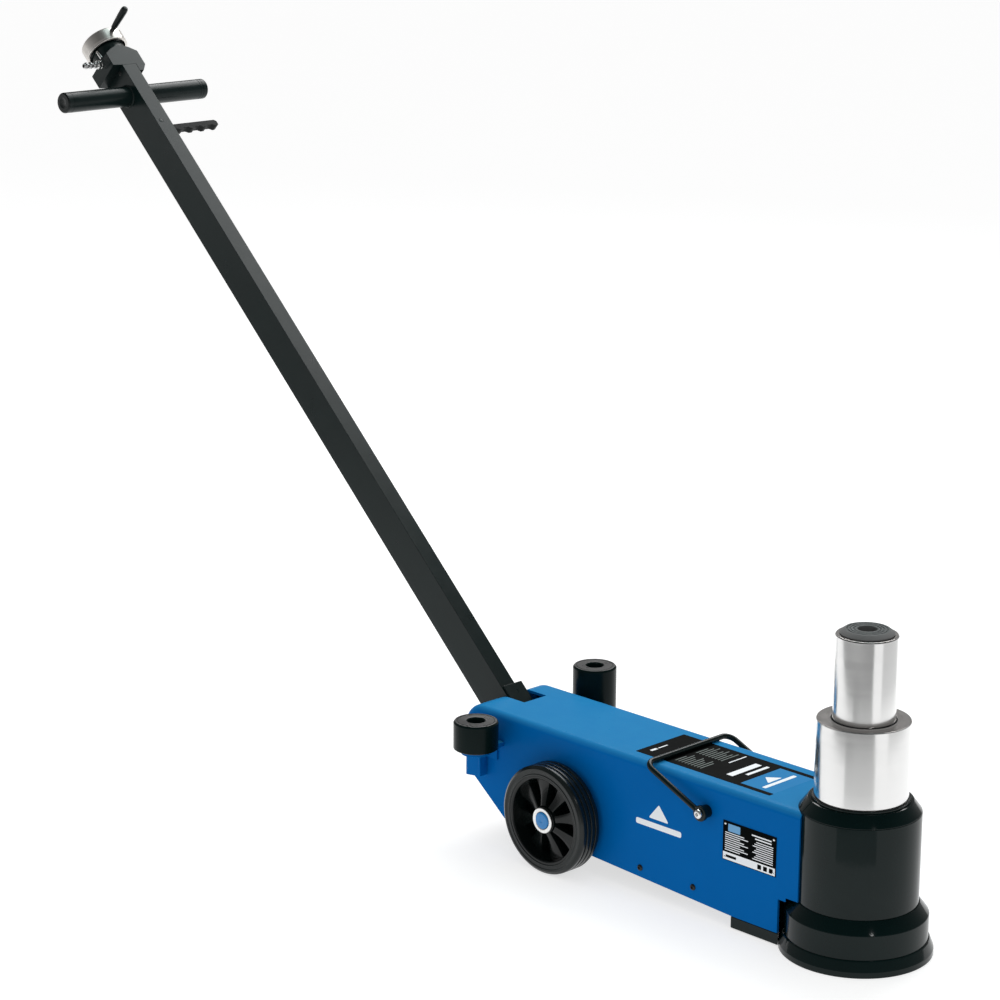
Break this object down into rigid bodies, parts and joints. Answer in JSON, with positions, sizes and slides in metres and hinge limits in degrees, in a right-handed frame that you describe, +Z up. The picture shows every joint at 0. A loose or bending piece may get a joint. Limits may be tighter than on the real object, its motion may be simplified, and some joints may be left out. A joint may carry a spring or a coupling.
{
  "type": "car jack",
  "caption": "Low trolley jack with a telescopic ram standing on a cast foot, a folded sheet cover on wheels, a long steering handle, loose height adapters and a carrying bail.",
  "frame": {"origin": "on the floor, at the centre of the cast foot, under the ram axis", "axes": "+Z up along the ram; +X from the handle towards the ram; +Y to the side that carries the tall adapter"},
  "size_m": [1.7029, 0.3044, 1.118],
  "materials": {
    "cast_black": "gloss black enamel on casting",
    "frame_black": "gloss black enamel on steel",
    "cover_blue": "gloss blue enamel",
    "chrome": "hard chrome, polished",
    "dark_steel": "blackened steel",
    "bright_steel": "zinc plated",
    "spring_steel": "oiled spring steel",
    "pad_iron": "machined cast iron",
    "knob_alloy": "satin turned aluminium",
    "tank_grey": "grey primer",
    "motor_alloy": "cast aluminium",
    "brass": "turned brass",
    "tyre": "solid rubber",
    "rim_black": "moulded, semi gloss",
    "cap_blue": "moulded, gloss",
    "hose": "smooth rubber",
    "seal": "oiled rubber",
    "plug_black": "moulded",
    "plate_print": "printed plate"
  },
  "bodies": {
    "chassis": {"base_casting": "cast_black", "skid_block": "cast_black", "cylinder_tube": "cast_black", "head_nut": "cast_black", "ram_wiper": "seal", "chassis_cover": "cover_blue", "belly_pan": "frame_black", "cover_screws": "dark_steel", "pump_block": "cast_black", "air_motor": "motor_alloy", "oil_tank": "tank_grey", "filler_plug": "brass", "oil_pipe": "bright_steel", "cover_hose": "hose", "hose_union": "brass", "rating_plate": "plate_print", "plate_rivets": "bright_steel", "axle": "dark_steel", "axle_spacers": "cover_blue", "axle_clips": "bright_steel", "axle_caps": "cap_blue", "bail_bosses": "frame_black", "bail_bolts": "bright_steel", "shelf_right": "cover_blue", "shelf_left": "cover_blue", "pivot_pin": "dark_steel", "pivot_bosses": "frame_black", "lock_sector": "frame_black"},
    "first_stage": {"big_ram": "chrome", "piston_seal": "seal", "head_ring": "dark_steel", "return_spring": "spring_steel"},
    "second_stage": {"small_ram": "chrome"},
    "saddle": {"saddle_pad": "pad_iron"},
    "wheel_right": {"tyre_right": "tyre", "rim_right": "rim_black", "bush_right": "brass"},
    "wheel_left": {"tyre_left": "tyre", "rim_left": "rim_black", "bush_left": "brass"},
    "bail": {"bail_rod": "frame_black"},
    "short_adapter": {"adapter_short": "frame_black"},
    "tall_adapter": {"adapter_tall": "frame_black"},
    "handle": {"handle_tube": "frame_black", "handle_foot": "frame_black", "grip_bar": "frame_black", "bar_plugs": "plug_black", "valve_housing": "frame_black", "inlet_nut": "bright_steel", "inlet_nipple": "bright_steel", "lever_pin": "dark_steel", "handle_air_line": "hose", "air_swivel": "brass"},
    "control": {"control_ring": "knob_alloy", "control_lever": "frame_black"},
    "grip": {"grip_lever": "frame_black"},
    "lock": {"lock_rod": "dark_steel", "lock_bolt": "dark_steel"},
    "motor_piston": {"air_piston": "motor_alloy"}
  },
  "joints": [
    {"name": "first_stage_slide", "type": "slide", "parent": "chassis", "child": "first_stage", "axis": [0, 0, 1], "range_m": [-0.104, 0.008]},
    {"name": "second_stage_slide", "type": "slide", "parent": "first_stage", "child": "second_stage", "axis": [0, 0, 1], "range_m": [-0.113, 0.008], "deforming": ["return_spring"]},
    {"name": "saddle_turn", "type": "hinge", "parent": "second_stage", "child": "saddle", "pos_m": [0, 0, 0.43], "axis": [0, 0, 1], "continuous": true},
    {"name": "wheel_right_spin", "type": "hinge", "parent": "chassis", "child": "wheel_right", "pos_m": [-0.4665, -0.0967, 0.078], "axis": [0, 1, 0], "continuous": true},
    {"name": "wheel_left_spin", "type": "hinge", "parent": "chassis", "child": "wheel_left", "pos_m": [-0.4665, 0.0967, 0.078], "axis": [0, 1, 0], "continuous": true},
    {"name": "bail_swing", "type": "hinge", "parent": "chassis", "child": "bail", "pos_m": [-0.2006, 0, 0.1543], "axis": [0, 1, 0], "range_deg": [0, 130]},
    {"name": "short_adapter_lift", "type": "slide", "parent": "chassis", "child": "short_adapter", "axis": [0, 0, 1], "range_m": [0, 0.06]},
    {"name": "tall_adapter_lift", "type": "slide", "parent": "chassis", "child": "tall_adapter", "axis": [0, 0, 1], "range_m": [0, 0.06]},
    {"name": "handle_pivot", "type": "hinge", "parent": "chassis", "child": "handle", "pos_m": [-0.634, 0, 0.1505], "axis": [0, 1, 0], "range_deg": [-25, 46.2]},
    {"name": "control_turn", "type": "hinge", "parent": "handle", "child": "control", "pos_m": [-1.56507, 0, 1.04337], "axis": [-0.7218, 0, 0.6921], "range_deg": [-30, 30], "stiffness_Nm_per_rad": 2},
    {"name": "grip_squeeze", "type": "hinge", "parent": "handle", "child": "grip", "pos_m": [-1.44309, -0.004, 0.92639], "axis": [0.6921, 0, 0.7218], "range_deg": [0, 12], "stiffness_Nm_per_rad": 3, "springref_deg": -6.88},
    {"name": "lock_slide", "type": "slide", "parent": "handle", "child": "lock", "axis": [-0.7218, 0, 0.6921], "range_m": [0, 0.0035]},
    {"name": "motor_stroke", "type": "slide", "parent": "chassis", "child": "motor_piston", "axis": [1, 0, 0], "range_m": [0, 0.05], "stiffness_N_per_m": 200, "springref_m": -0.03}
  ],
  "couplings": [
    {"joint": "lock_slide", "follows": "grip_squeeze", "m_per_rad": 0.0145}
  ]
}
